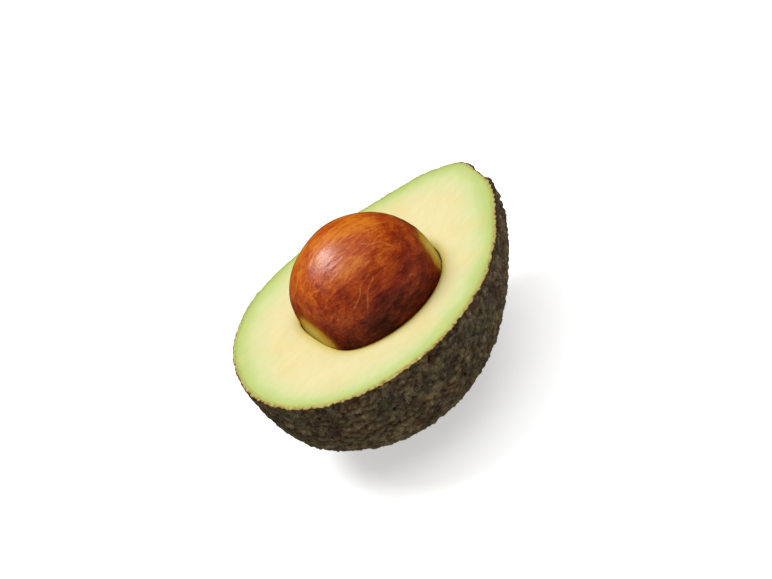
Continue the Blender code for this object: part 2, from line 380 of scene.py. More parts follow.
def from_scar(points):
    """Distance from the middle of the stem scar."""
    return np.linalg.norm(points - fruit_surface(direction_at(SCAR_TURN, 0)), axis=-1)


def turn_degrees(directions):
    """The angle round the cut from +X, from 0 to 360 degrees."""
    return np.degrees(np.arctan2(directions[..., 1], directions[..., 0])) % 360


def skin_outside(directions):
    """The outside of the skin, with its pebbles, and the fields that its finish reads."""
    base = fruit_surface(directions)
    relief, pit, tone = pebble_relief(directions)
    flat_distance = np.hypot(base[..., 0], base[..., 1])
    may_be_flat = directions[..., 2] < FLAT_FROM
    off_flat = np.where(may_be_flat, smooth_step(flat_distance, *FLAT_FADE), 1.0)
    left = np.interp(turn_degrees(directions), RELIEF_ANGLES, RELIEF_LEFT)
    left = left + (1 - left) * smooth_step(-directions[..., 2], *FULL_RELIEF)
    scar_distance = from_scar(base)
    scar = 1 - smooth_step(scar_distance, *SCAR_EDGE)
    ring = np.exp(-((scar_distance - SCAR_RING_RADIUS) / SCAR_RING_WIDTH) ** 2)
    height = PEBBLE_HEIGHT * relief * left - PIT_DEPTH * pit
    height = height * (1 - (1 - RELIEF_ON_SCAR) * scar)
    wrinkles = WRINKLE_HEIGHT * random_waves(base, WRINKLE_LENGTH, 31)
    lift = (height + wrinkles) * (RELIEF_ON_FLAT + (1 - RELIEF_ON_FLAT) * off_flat) + VALLEY_LIFT
    ring_share = RELIEF_ON_RING + (1 - RELIEF_ON_RING) * relief
    lift = lift - SCAR_DEPTH * scar + SCAR_RING * ring * ring_share
    points = fruit_surface(directions, lift)
    points[..., 2] = np.maximum(points[..., 2], 0)
    return points, {"relief": relief, "pit": pit, "tone": tone, "scar": scar}


# %% The skin as one bowl
# Where the outer corner lies across the cut edge, from 0 at the outside to 1 at the flesh. It is
# just past 0, so that the edge's colour begins there.
CUT_AT_CORNER = 0.02


def make_skin():
    """The skin as one closed bowl of rings, from the flat spot over the cut edge to the inside."""
    share = np.linspace(1, 0, OUTSIDE_RINGS + 1)[1:]
    below_cut = math.pi / 2 * ((1 - RINGS_CLOSER) * share + RINGS_CLOSER * share ** 2)
    outside, fields = skin_outside(ring_directions(below_cut, SKIN_COLUMNS))
    inside_angles = math.pi / 2 * np.linspace(0, 1, INSIDE_RINGS + 1)[:-1]
    inside_directions = ring_directions(inside_angles, SKIN_COLUMNS)
    inside = fruit_surface(inside_directions, np.full(inside_directions.shape[:2], -SKIN_THICKNESS))
    inside[..., 2] = np.maximum(inside[..., 2], SKIN_THICKNESS)

    inward = np.linspace(0, 1, EDGE_RINGS + 2)[1:-1, None, None]
    edge = outside[-1] * (1 - inward) + inside[0] * inward
    rings = np.concatenate([outside, edge, inside])
    cut = np.concatenate([np.zeros(OUTSIDE_RINGS - 1), [CUT_AT_CORNER], inward[:, 0, 0],
                          np.ones(INSIDE_RINGS)])
    cut = np.repeat(cut[:, None], SKIN_COLUMNS, axis=1)
    top = slice(OUTSIDE_RINGS - 1, OUTSIDE_RINGS + EDGE_RINGS)
    rings[top, :, 2] -= CUT_EDGE_DROP * (1 - cut[top]) ** 4

    # The outside's values are held over the edge and the inside
    fields = {name: np.concatenate([values, np.repeat(values[-1:], EDGE_RINGS + INSIDE_RINGS, 0)])
              for name, values in fields.items()}
    turn = np.broadcast_to(np.linspace(0, 360, SKIN_COLUMNS, endpoint=False), cut.shape)
    fields |= {"cut": cut, "flesh share": np.interp(turn, EDGE_ANGLES, FLESH_SHARE),
               "dark share": np.interp(turn, EDGE_ANGLES, DARK_SHARE)}
    bottom = [0.0, 0.0, 0.0]
    return ring_mesh("skin_pebbled", rings, bottom, [0.0, 0.0, SKIN_THICKNESS], fields)


skin = make_skin()

# %% [markdown]
# The stone is an egg with a blunt base, where it was joined to the fruit. Its rings run round its
# long axis, as the fibres of its seed coat do. The coat is thin and dry and has shrunk a little,
# so it has shallow dents and very fine creases that run from the base to the tip. The veins that
# fed the seed branch over it. Their courses are short chains of points on the stone, and the mesh
# carries each point's distance to them, which the finish turns into thin lines.

# %% Stone
STONE_CENTRE = np.array([-4.2, -0.4, -1.75]) * MM
STONE_RADII = np.array([21.0, 18.8, 22.0]) * MM
STONE_BASE = 0.872
BASE_SOFTNESS = 10.3
STONE_TURN = math.radians(-14.3)

# The direction to the middle of each end that has a film of flesh on it, and how far the film
# reaches, in degrees
FILMS = (((-0.985, -0.02, -0.14), 29.5), ((0.9, -0.42, 0.1), 21.6))
STONE_COLUMNS = 400
STONE_RINGS = 238
ALONG_FIBRES = np.array([0.16, 1.0, 1.0])
CREASE_DEPTH = 0.035 * MM
CREASE_WIDTH = 1.3 * MM
DENT_DEPTH = 0.12 * MM
DENT_WIDTH = 13.0 * MM

# Each vein's points as the angle from the tip and the angle round the axis, in degrees
VEINS = (
    ((52, 131), (62, 133), (78, 133), (83, 135), (93, 137), (100, 139), (106, 140), (110, 143),
     (115, 147), (121, 151)),
    ((93, 137), (96, 142), (101, 144), (106, 148), (112, 157)),
    ((84, 134), (90, 131), (101, 127), (113, 121), (125, 116), (137, 108)),
    ((69, 132), (74, 126), (83, 118), (95, 111), (108, 102), (122, 92)),
    ((60, 212), (75, 208), (92, 211), (108, 205), (124, 209), (138, 200)),
    ((92, 211), (103, 220), (117, 226), (130, 238)),
    ((55, 290), (72, 296), (90, 291), (105, 299), (121, 294), (136, 302)),
    ((90, 291), (101, 281), (115, 276), (128, 266)),
    ((58, 30), (74, 36), (91, 31), (107, 38), (124, 33), (139, 41)),
    ((91, 31), (104, 22), (118, 16), (131, 6)),
)
VEIN_STEPS = 12
VEIN_WOBBLE = 0.35 * MM
VEIN_WOBBLE_LENGTH = 4.0 * MM


# %% The stone's surface and veins


def blunt_egg(directions, radii, base):
    """An ellipsoid with a blunt base at its round end. Past the base, a share of its length, the
    length is pressed in by a soft limit."""
    x, y, z = np.moveaxis(directions, -1, 0)
    past_base = np.log1p(np.exp(BASE_SOFTNESS * (-x - base))) / BASE_SOFTNESS
    return np.stack([x + past_base, y, z], -1) * radii


def turned(points):
    """Points round the stone's middle, turned about the vertical to where the stone points."""
    cosine, sine = math.cos(STONE_TURN), math.sin(STONE_TURN)
    return points @ np.array([[cosine, sine, 0.0], [-sine, cosine, 0.0], [0.0, 0.0, 1.0]])


def stone_surface(directions):
    """The smooth stone in its place."""
    return turned(blunt_egg(directions, STONE_RADII, STONE_BASE)) + STONE_CENTRE + FRUIT_CENTRE


def round_the_axis(along, turn):
    """Unit directions by the angle from the stone's tip and the angle round its long axis."""
    return np.stack([np.cos(along) + 0 * turn, np.sin(along) * np.cos(turn),
                     np.sin(along) * np.sin(turn)], -1)


def distance_to_veins(straight):
    """Distance from each point of the unturned stone to the nearest vein. Each chain of points is
    filled in by steps, and the points are first shaken by waves, which makes the veins wobble."""
    filled = []
    for vein in VEINS:
        known = np.radians(vein)
        steps = np.linspace(0, len(known) - 1, VEIN_STEPS * (len(known) - 1) + 1)
        along, turn = (np.interp(steps, np.arange(len(known)), angles) for angles in known.T)
        filled.append(blunt_egg(round_the_axis(along, turn), STONE_RADII, STONE_BASE))
    filled = np.concatenate(filled)
    shaken = straight.reshape(-1, 3) + VEIN_WOBBLE * np.stack(
        [random_waves(straight.reshape(-1, 3), VEIN_WOBBLE_LENGTH, seed) for seed in (43, 44, 45)],
        -1)
    near = nearest_two(shaken, filled, np.ones(len(filled)))
    return near[:, 1].reshape(straight.shape[:-1])


# %% The stone as one body


def make_stone():
    """The stone as rings round its long axis, from its base to its tip. Its relief goes in, by
    the waves' distance below 1. Past film is the angle from a film's middle less its reach, in
    degrees, and is negative on the film."""
    along = np.linspace(math.pi, 0, STONE_RINGS + 2)[1:-1, None]
    turn = np.linspace(0, 2 * math.pi, STONE_COLUMNS, endpoint=False)[None, :]
    directions = round_the_axis(along, turn)
    straight = blunt_egg(directions, STONE_RADII, STONE_BASE)
    outward = turned(straight / STONE_RADII ** 2)
    outward /= np.linalg.norm(outward, axis=-1, keepdims=True)
    creases = CREASE_DEPTH * (random_waves(straight * ALONG_FIBRES, CREASE_WIDTH, 41) - 1)
    dents = DENT_DEPTH * (random_waves(straight, DENT_WIDTH, 42) - 1)
    rings = turned(straight) + STONE_CENTRE + FRUIT_CENTRE + (creases + dents)[..., None] * outward
    base, tip = rings[0].mean(axis=0), rings[-1].mean(axis=0)
    past_film = [np.degrees(np.arccos(np.clip(directions @ middle, -1, 1))) - reach
                 for middle, reach in FILMS]
    fields = {"to vein": distance_to_veins(straight) / MM, "past film": np.minimum(*past_film)}
    return ring_mesh("stone_in_seed_coat", rings, base, tip, fields)


stone = make_stone()

# %% [markdown]
# The flesh fills the skin and holds the hollow of the stone. It is one body of rings again: from
# the hollow's deepest point up its wall, over a soft lip, across the cut face to the skin, and
# down inside it. Two fields go with it, the distances to the skin and to the hollow's mouth, since
# the flesh is green under the skin and turns yellow toward the stone. A knife leaves the cut face
# not quite flat, with very low waves. The pale flesh isn't mirrored in the stone, whose deep
# colours would turn milky.

# %% Flesh
HOLLOW_RADII = np.array([21.8, 20.3, 24.5]) * MM
HOLLOW_BASE = 0.862
SNUG_SHARE = 0.1
MOUTH_SHARE = 0.13
MOUTH_OPENING = 1.3 * MM
FLESH_COLUMNS = 480
HOLLOW_RINGS = 44
LIP_RINGS = 8
FACE_RINGS = 34
FLESH_RINGS = 22
LIP_WIDTH = 1.0 * MM
LIP_DROP = 0.25 * MM
KNIFE_WAVE = 0.05 * MM
KNIFE_WAVE_LENGTH = 16.0 * MM
WALL_WAVE = 0.02 * MM
WALL_WAVE_LENGTH = 5.0 * MM
LIP_CLOSER = 1.5
LIP_FALL_WIDTH = 0.45 * LIP_WIDTH
LIP_FALL_POWER = 1.3
KNIFE_CLEAR = 2 * MM

# %% The hollow


def hollow(directions):
    """The hollow. Deep down it lies snugly round the stone, and it opens toward its mouth. A point
    is the stone's, moved toward the solid's larger hollow by the snug share, and by the mouth
    share at the mouth, with a fall by e for each mouth opening of depth."""
    bowl = turned(blunt_egg(directions, HOLLOW_RADII, HOLLOW_BASE)) + FRUIT_CENTRE
    bowl[..., :2] += STONE_CENTRE[:2]
    snug = stone_surface(directions)
    opening = np.exp(HOLLOW_RADII[2] * directions[..., 2:] / MOUTH_OPENING)
    return snug + (SNUG_SHARE + (MOUTH_SHARE - SNUG_SHARE) * opening) * (bowl - snug)


def distance_to_outline(points, outline):
    """Level distance from each point to the nearest point of a closed outline."""
    flat = points[..., :2].reshape(-1, 2)
    near = [np.linalg.norm(part[:, None] - outline[None, :, :2], axis=2).min(1)
            for part in np.array_split(flat, CHUNKS)]
    return np.concatenate(near).reshape(points.shape[:-1])


# %% The flesh as one body


def make_flesh():
    """The flesh as one closed body of rings, from the hollow over the cut face to the skin."""
    rising = math.pi / 2 * np.linspace(1, 0, HOLLOW_RINGS + 1)[1:]
    wall = hollow(ring_directions(rising, FLESH_COLUMNS))
    wall_normal = wall - (FRUIT_CENTRE + np.append(STONE_CENTRE[:2], 0))
    wall_normal /= np.linalg.norm(wall_normal, axis=-1, keepdims=True)
    uneven = WALL_WAVE * (random_waves(wall, WALL_WAVE_LENGTH, 51) + 1)
    wall = wall + uneven[..., None] * wall_normal

    sinking = math.pi / 2 * np.linspace(0, 1, FLESH_RINGS + 1)[:-1]
    directions = ring_directions(sinking, FLESH_COLUMNS)
    outside = fruit_surface(directions, np.full(directions.shape[:2], -SKIN_THICKNESS))
    outside[..., 2] = np.maximum(outside[..., 2], SKIN_THICKNESS)

    mouth, skin_line = wall[-1], outside[0]
    across = np.linalg.norm(skin_line - mouth, axis=-1)[None, :]
    lip = np.linspace(0, 1, LIP_RINGS + 1)[1:, None] ** LIP_CLOSER * LIP_WIDTH / across
    face = lip[-1] + (1 - lip[-1]) * np.linspace(0, 1, FACE_RINGS + 1)[1:-1, None]
    share = np.concatenate([lip, face])[..., None]
    cut_face = mouth * (1 - share) + skin_line * share
    rings = np.concatenate([wall, cut_face, outside])

    to_mouth = distance_to_outline(rings, mouth)
    to_skin = distance_to_outline(rings, skin_line)
    rows = np.arange(len(rings))[:, None]
    on_wall = np.broadcast_to(rows < HOLLOW_RINGS, to_mouth.shape)
    on_face = ~on_wall & (rows <= HOLLOW_RINGS + len(share))
    fall = LIP_DROP * np.exp(-(to_mouth / LIP_FALL_WIDTH) ** LIP_FALL_POWER)
    waves = KNIFE_WAVE * (random_waves(rings, KNIFE_WAVE_LENGTH, 52) - 1)
    waves = waves * smooth_step(to_skin, 0, KNIFE_CLEAR)
    rings[..., 2] += np.where(on_face, waves - fall, 0)
    wall_depth = np.where(on_wall, CUT_HEIGHT - rings[..., 2], 0)
    rings[..., 2] -= np.where(on_wall, LIP_DROP * np.exp(-wall_depth / LIP_WIDTH), 0)
    fields = {"to skin": np.where(on_face | on_wall, to_skin, 0) / MM, "to mouth": to_mouth / MM,
              "down the hollow": wall_depth / MM}
    lowest = hollow(np.array([0.0, 0.0, -1.0]))
    return ring_mesh("flesh_cut", rings, lowest, [0.0, 0.0, SKIN_THICKNESS], fields)


flesh = make_flesh()
flesh.visible_glossy = False

# %% [markdown]
# Every finish below is a small net of shader nodes. Colours are written as on a screen, in sRGB
# hex, but a renderer mixes light and needs linear values, so one function turns them. Another adds
# a node with its settings and its links and hands back what comes out of it, which lets a material
# read like a recipe. Sizes of patterns are given in millimetres: a noise of scale 1 has features
# of about a metre here, so its scale is 1 divided by the size.

# %% Helpers for materials


def linear(colour):
    """Linear red, green, blue and full alpha for an sRGB hex colour, by the sRGB standard's own
    curve."""
    values = [int(colour[place:place + 2], 16) / 255 for place in (1, 3, 5)]
    return [value / 12.92 if value <= 0.04045 else ((value + 0.055) / 1.055) ** 2.4
            for value in values] + [1.0]


def add_node(tree, kind, inputs=None, output=None, stops=(), **settings):
    """Adds a shader node and returns one output, the first that is on unless it is named.
    inputs holds a value, a hex colour or another node's output for each socket, by its name or
    number, and stops holds the places and hex colours of a colour ramp."""
    node = tree.nodes.new(kind)
    for name, value in settings.items():
        setattr(node, name, value)
    for number, (place, colour) in enumerate(stops):
        elements = node.color_ramp.elements
        element = elements[number] if number < 2 else elements.new(place)
        element.position = place
        element.color = linear(colour)
    for socket, value in (inputs or {}).items():
        if isinstance(value, bpy.types.NodeSocket):
            tree.links.new(value, node.inputs[socket])
        else:
            node.inputs[socket].default_value = linear(value) if isinstance(value, str) else value
    if output:
        return node.outputs[output]
    return next((socket for socket in node.outputs if socket.enabled), node)


def new_material(name, **shader_values):
    """A material with one Principled shader whose uniform values are set on its own sockets."""
    material = bpy.data.materials.new(name)
    material.use_nodes = True
    shader = material.node_tree.nodes["Principled BSDF"]
    for socket, value in shader_values.items():
        shader.inputs[socket.replace("_", " ")].default_value = value
    return material, material.node_tree, shader


def per(size):
    """The scale of a texture whose features are this large."""
    return 1 / size


# %% [markdown]
# Ripe avocado skin is a leathery, slightly waxy rind, olive brown on its pebbles, with green left
# in places, reddish brown or purplish grey in others. Its valleys are painted darker and its pits
# nearly black, partly its own colour and partly painted shade, and pale specks stand partly for a
# thin bloom of wax and partly for painted glints. Its cut edge is another matter: the inner layer
# of the rind is ochre, and only its outermost part is dark, deeper where a pebble was cut. On one
# side
# flesh clings to most of the edge, and round the stem scar it is corky. The colours follow the
# relief that the mesh carries, so they stay with the pebbles.

# %% Skin material
SKIN_PATCH = 9.0 * MM
SKIN_MOTTLE = 1.8 * MM
SKIN_GRAIN = 0.5 * MM
EDGE_BLOTCH = 1.3 * MM
PALE_BIT = 10.0 * MM
CORK_GRAIN = 0.8 * MM
PORE_PITCH = 1.1 * MM


def skin_colour(tree, place, relief, pit, tone):
    """Olive tops with valleys and pits painted dark, partly their own colour and partly painted
    shade, tinted green, red and grey in patches, with pale specks, partly wax and partly painted
    glints.
    """
    patches = add_node(tree, "ShaderNodeTexNoise",
                       {"Vector": place, "Scale": per(SKIN_PATCH), "Detail": 4.0,
                        "Roughness": 0.65})
    mottle = add_node(tree, "ShaderNodeTexNoise",
                      {"Vector": place, "Scale": per(SKIN_MOTTLE), "Detail": 5.0,
                       "Roughness": 0.7})
    grain = add_node(tree, "ShaderNodeTexNoise",
                     {"Vector": place, "Scale": per(SKIN_GRAIN), "Detail": 3.0})
    height = add_node(tree, "ShaderNodeMath", {0: mottle, 1: 0.9, 2: relief},
                      operation="MULTIPLY_ADD")
    height = add_node(tree, "ShaderNodeMath", {0: tone, 1: 0.15, 2: height},
                      operation="MULTIPLY_ADD")
    height = add_node(tree, "ShaderNodeMapRange", {"Value": height, 1: 0.4, 2: 1.35})
    # Darker toward the valleys by relief height: partly the rind's own colour, partly painted shade
    rind = add_node(tree, "ShaderNodeValToRGB", {"Fac": height},
                    stops=((0.0, "#0e0904"), (0.25, "#352812"), (0.55, "#54442a"),
                           (1.0, "#786947")))
    colour = rind
    for start, end, amount, tint in ((0.55, 0.66, 0.5, "#3c4418"), (0.45, 0.36, 0.5, "#4e2c18"),
                                     (0.5, 0.53, 0.25, "#4a4238")):
        where = add_node(tree, "ShaderNodeMapRange",
                         {"Value": patches, 1: start, 2: end, 3: 0.0, 4: amount})
        colour = add_node(tree, "ShaderNodeMix", {0: where, 6: colour, 7: tint}, data_type="RGBA")
    # Pits painted nearly black: painted shade as much as their own colour
    dark = add_node(tree, "ShaderNodeMapRange", {"Value": pit, 1: 0.1, 2: 0.6, 3: 0.0, 4: 0.85})
    colour = add_node(tree, "ShaderNodeMix", {0: dark, 6: colour, 7: "#0f0b05"}, data_type="RGBA")
    # Pale specks painted into the colour: partly the wax bloom, partly painted glints
    wax_and_glints = add_node(tree, "ShaderNodeMapRange", {"Value": grain, 1: 0.6, 2: 0.72, 3: 0.0, 4: 0.6})
    return add_node(tree, "ShaderNodeMix", {0: wax_and_glints, 6: colour, 7: "#9a9070"}, data_type="RGBA")


# %% The skin's cut edge


def edge_colour(tree, place, cut, flesh_share, dark_share):
    """The cut edge: flesh green inside, then ochre, and dark brown at the outside. Blotches make
    the borders between them ragged."""
    blotch = add_node(tree, "ShaderNodeTexNoise",
                      {"Vector": place, "Scale": per(EDGE_BLOTCH), "Detail": 5.0,
                       "Roughness": 0.7})
    wide = add_node(tree, "ShaderNodeTexNoise",
                    {"Vector": place, "Scale": per(PALE_BIT), "Detail": 2.0})
    ochre = add_node(tree, "ShaderNodeValToRGB", {"Fac": blotch},
                     stops=((0.33, "#8f5f22"), (0.45, "#c29a48"), (0.58, "#d6bd6c"),
                            (0.72, "#dfd08f")))
    pale = add_node(tree, "ShaderNodeMapRange", {"Value": wide, 1: 0.6, 2: 0.66, 3: 0.0, 4: 0.8})
    ochre = add_node(tree, "ShaderNodeMix", {0: pale, 6: ochre, 7: "#efdcc0"}, data_type="RGBA")
    ragged = add_node(tree, "ShaderNodeMath", {0: blotch, 1: 1.3, 2: cut},
                      operation="MULTIPLY_ADD")
    ragged = add_node(tree, "ShaderNodeMath", {0: ragged, 1: 0.65}, operation="SUBTRACT")
    past_dark = add_node(tree, "ShaderNodeMath", {0: ragged, 1: dark_share}, operation="SUBTRACT")
    inner = add_node(tree, "ShaderNodeMapRange", {"Value": past_dark, 1: -0.05, 2: 0.12})
    edge = add_node(tree, "ShaderNodeMix", {0: inner, 6: "#3a220d", 7: ochre}, data_type="RGBA")
    past_ochre = add_node(tree, "ShaderNodeMath", {0: ragged, 1: flesh_share}, operation="ADD")
    clinging = add_node(tree, "ShaderNodeMapRange", {"Value": past_ochre, 1: 0.85, 2: 1.25})
    return add_node(tree, "ShaderNodeMix", {0: clinging, 6: edge, 7: "#c3cf78"}, data_type="RGBA")


# %% The skin's finish as a whole


def make_skin_material():
    """Ripe rind: leathery and a little waxy, so its gloss is broad, and drier in the valleys."""
    material, tree, shader = new_material("avocado rind, ripe and waxed", IOR=1.45,
                                          Specular_IOR_Level=0.5)
    place = add_node(tree, "ShaderNodeTexCoord", output="Object")
    relief, pit, tone, scar, cut, flesh_share, dark_share = (
        add_node(tree, "ShaderNodeAttribute", output="Fac", attribute_name=name)
        for name in ("relief", "pit", "tone", "scar", "cut", "flesh share", "dark share"))
    outside = skin_colour(tree, place, relief, pit, tone)
    cork = add_node(tree, "ShaderNodeTexNoise",
                    {"Vector": place, "Scale": per(CORK_GRAIN), "Detail": 5.0, "Roughness": 0.7})
    cork_tan = add_node(tree, "ShaderNodeValToRGB", {"Fac": cork},
                        stops=((0.35, "#3a2010"), (0.5, "#8a5526"), (0.7, "#c08a48")))
    corky = add_node(tree, "ShaderNodeMapRange", {"Value": scar, 1: 0.35, 2: 0.7})
    outside = add_node(tree, "ShaderNodeMix", {0: corky, 6: outside, 7: cork_tan},
                       data_type="RGBA")
    edge = edge_colour(tree, place, cut, flesh_share, dark_share)
    on_edge = add_node(tree, "ShaderNodeMapRange", {"Value": cut, 1: 0.0, 2: 0.06})
    colour = add_node(tree, "ShaderNodeMix", {0: on_edge, 6: outside, 7: edge}, data_type="RGBA")
    tree.links.new(colour, shader.inputs["Base Color"])
    roughness = add_node(tree, "ShaderNodeMapRange",
                         {"Value": relief, 1: 0.0, 2: 0.8, 3: 0.5, 4: 0.22})
    tree.links.new(roughness, shader.inputs["Roughness"])
    grain = add_node(tree, "ShaderNodeTexNoise",
                     {"Vector": place, "Scale": per(SKIN_GRAIN), "Detail": 4.0,
                      "Roughness": 0.65})
    pores = add_node(tree, "ShaderNodeTexVoronoi",
                     {"Vector": place, "Scale": per(PORE_PITCH), "Randomness": 1.0})
    fine = add_node(tree, "ShaderNodeMath", {0: pores, 1: 0.7, 2: grain},
                    operation="MULTIPLY_ADD")
    bump = add_node(tree, "ShaderNodeBump",
                    {"Strength": 1.0, "Distance": 0.6 * MM, "Height": fine})
    tree.links.new(bump, shader.inputs["Normal"])
    return material


skin.data.materials.append(make_skin_material())
print("skin finish:", skin.active_material.name)

# %% [markdown]
# Fresh avocado flesh is a soft, fatty tissue full of water, so light sinks a little into it and
# its cut face has a moist sheen. It is bright green where it lay under the skin, and within a few
# millimetres it turns through pale yellow green to cream. Toward the stone it is a warmer yellow,
# and the wall of the hollow is yellow ochre, with shade painted in as a browner colour the deeper
# it lies. Very faint streaks and warmer patches keep the cream from looking flat.

# %% Flesh material
FLESH_PATCH = 9.0 * MM
STREAK_WIDTH = 1.6 * MM
FLESH_GRAIN = 0.45 * MM
FLESH_DRIFT = 16.0 * MM
WARM_REACH_MM = 2.4
WALL_SHADE_DEPTH_MM = 6.0


def make_flesh_material():
    """Fresh flesh: green to cream by the distance to the skin, and warmer near the hollow."""
    material, tree, shader = new_material(
        "avocado flesh, freshly cut", IOR=1.4, Roughness=0.45, Specular_IOR_Level=0.35,
        Subsurface_Weight=0.3, Subsurface_Scale=1.6 * MM, Subsurface_Radius=(1.0, 0.9, 0.35))
    place = add_node(tree, "ShaderNodeTexCoord", output="Object")
    to_skin, to_mouth, down = (
        add_node(tree, "ShaderNodeAttribute", output="Fac", attribute_name=name)
        for name in ("to skin", "to mouth", "down the hollow"))
    drift = add_node(tree, "ShaderNodeTexNoise",
                     {"Vector": place, "Scale": per(FLESH_DRIFT), "Detail": 3.0})
    spread = add_node(tree, "ShaderNodeMapRange",
                      {"Value": drift, 1: 0.3, 2: 0.7, 3: 0.05, 4: 0.095})
    inward = add_node(tree, "ShaderNodeMath", {0: to_skin, 1: spread}, operation="MULTIPLY")
    body = add_node(tree, "ShaderNodeValToRGB", {"Fac": inward},
                    stops=((0.0, "#b2bc60"), (0.05, "#bdcb78"), (0.16, "#c4d388"),
                           (0.3, "#d4db9c"), (0.5, "#e1dca4"), (0.85, "#e8dda6")))
    warm = add_node(tree, "ShaderNodeMapRange", {"Value": to_mouth, 1: WARM_REACH_MM, 2: 0.0})
    warm = add_node(tree, "ShaderNodeMath", {0: warm, 1: 0.75}, operation="MULTIPLY")
    body = add_node(tree, "ShaderNodeMix", {0: warm, 6: body, 7: "#decb5c"}, data_type="RGBA")
    patches = add_node(tree, "ShaderNodeTexNoise",
                       {"Vector": place, "Scale": per(FLESH_PATCH), "Detail": 3.0})
    patches = add_node(tree, "ShaderNodeMapRange",
                       {"Value": patches, 1: 0.5, 2: 0.68, 3: 0.0, 4: 0.35})
    body = add_node(tree, "ShaderNodeMix", {0: patches, 6: body, 7: "#e4d08a"},
                    data_type="RGBA")
    long = add_node(tree, "ShaderNodeMapping", {"Vector": place, "Scale": (0.4, 1.0, 1.0)})
    streaks = add_node(tree, "ShaderNodeTexNoise",
                       {"Vector": long, "Scale": per(STREAK_WIDTH), "Detail": 4.0,
                        "Roughness": 0.6})
    streaks = add_node(tree, "ShaderNodeMapRange",
                       {"Value": streaks, 1: 0.3, 2: 0.7, 3: 0.975, 4: 1.025})
    body = add_node(tree, "ShaderNodeMix", {0: 1.0, 6: body, 7: streaks}, data_type="RGBA",
                    blend_type="MULTIPLY")
    # Painted shade: the hollow's wall turns browner the deeper it lies
    deep = add_node(tree, "ShaderNodeMapRange", {"Value": down, 1: 0.0, 2: WALL_SHADE_DEPTH_MM})
    wall = add_node(tree, "ShaderNodeValToRGB", {"Fac": deep},
                    stops=((0.0, "#ead670"), (0.15, "#dfbd3e"), (0.4, "#c08a1c"),
                           (1.0, "#8a5408")))
    on_wall = add_node(tree, "ShaderNodeMapRange", {"Value": down, 1: 0.0, 2: 0.3})
    colour = add_node(tree, "ShaderNodeMix", {0: on_wall, 6: body, 7: wall}, data_type="RGBA")
    tree.links.new(colour, shader.inputs["Base Color"])
    grain = add_node(tree, "ShaderNodeTexNoise",
                     {"Vector": place, "Scale": per(FLESH_GRAIN), "Detail": 3.0})
    bump = add_node(tree, "ShaderNodeBump",
                    {"Strength": 0.3, "Distance": 0.06 * MM, "Height": grain})
    tree.links.new(bump, shader.inputs["Normal"])
    return material


flesh.data.materials.append(make_flesh_material())
print("flesh finish:", flesh.active_material.name)

# %% [markdown]
# The stone wears a thin brown seed coat that shines like waxed wood. It is orange where the coat
# is thin and maroon to dark brown where it is thick, in broad soft zones. Over that, its upper side
# toward the key light is painted lighter and more orange and its lower front darker, as painted
# light and shade. Fine fibres run from the base to the tip, so their noise is stretched along the
# stone, and the veins stand out in orange.
# A thin golden film of flesh clings to both of its ends.

# %% Stone material
STONE_ZONE = 9.0 * MM
STONE_MOTTLE = 2.6 * MM
FIBRE_WIDTH = 0.5 * MM
SPECK_SIZE = 0.35 * MM

# The way from the stone's middle toward the key light, along which the coat is painted from
# shaded dark brown to lit orange, and from where to where
LIT_SIDE_WAY = (0.1, 0.45, 0.9)
LIT_SIDE_FROM = -5 * MM
LIT_SIDE_TO = 20 * MM


